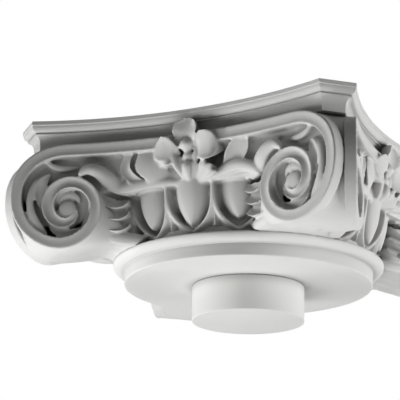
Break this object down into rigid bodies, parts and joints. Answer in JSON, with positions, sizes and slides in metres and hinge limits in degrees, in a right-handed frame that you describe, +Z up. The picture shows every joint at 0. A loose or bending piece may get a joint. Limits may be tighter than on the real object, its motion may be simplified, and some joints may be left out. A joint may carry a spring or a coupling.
{
  "type": "angular ionic column capital",
  "caption": "Square column capital with hollow-sided moulded abacus, corner volutes, egg and dart bell, flower on each face, round neck moulding and short centring plug.",
  "frame": {"origin": "centre of the plug's underside, the lowest point of the part", "axes": "+Z up along the column's axis, the front face looks along -Y, +X to the right seen from the front"},
  "size_m": [0.3954, 0.3954, 0.1885],
  "materials": {
    "cast_plaster": "matte white cast plaster",
    "plug_plaster": "matte white turned plaster"
  },
  "bodies": {
    "root": {"capital": "cast_plaster", "plug": "plug_plaster"}
  },
  "joints": []
}
